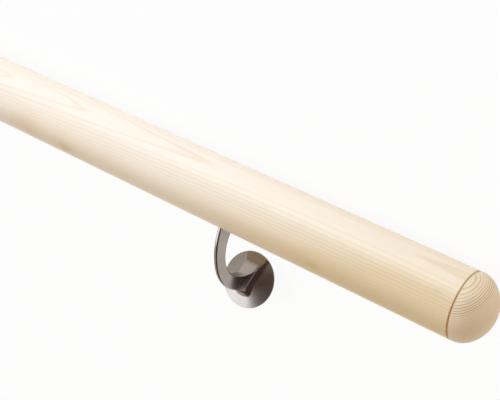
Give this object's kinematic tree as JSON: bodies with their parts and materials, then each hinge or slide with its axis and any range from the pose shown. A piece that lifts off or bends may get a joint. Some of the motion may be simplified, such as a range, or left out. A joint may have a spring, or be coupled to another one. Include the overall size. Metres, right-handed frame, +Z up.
{
  "type": "wall-mounted stair handrail",
  "caption": "Round softwood stair handrail with domed end caps on shadow gaps, carried by curved cast wall brackets.",
  "frame": {"origin": "centre of the rail's length and of its lying footprint, on the floor", "axes": "+X along the rail to the near end cap, +Y from the roses to the pole, +Z up from the floor"},
  "size_m": [1.5478, 0.1448, 0.0576],
  "materials": {
    "pine": "sanded, clear matt lacquer",
    "satin_nickel": "satin nickel plate"
  },
  "bodies": {
    "root": {"rail": "pine", "end_cap_near": "pine", "end_cap_far": "pine", "bracket_near": "satin_nickel", "bracket_far": "satin_nickel"}
  },
  "joints": []
}
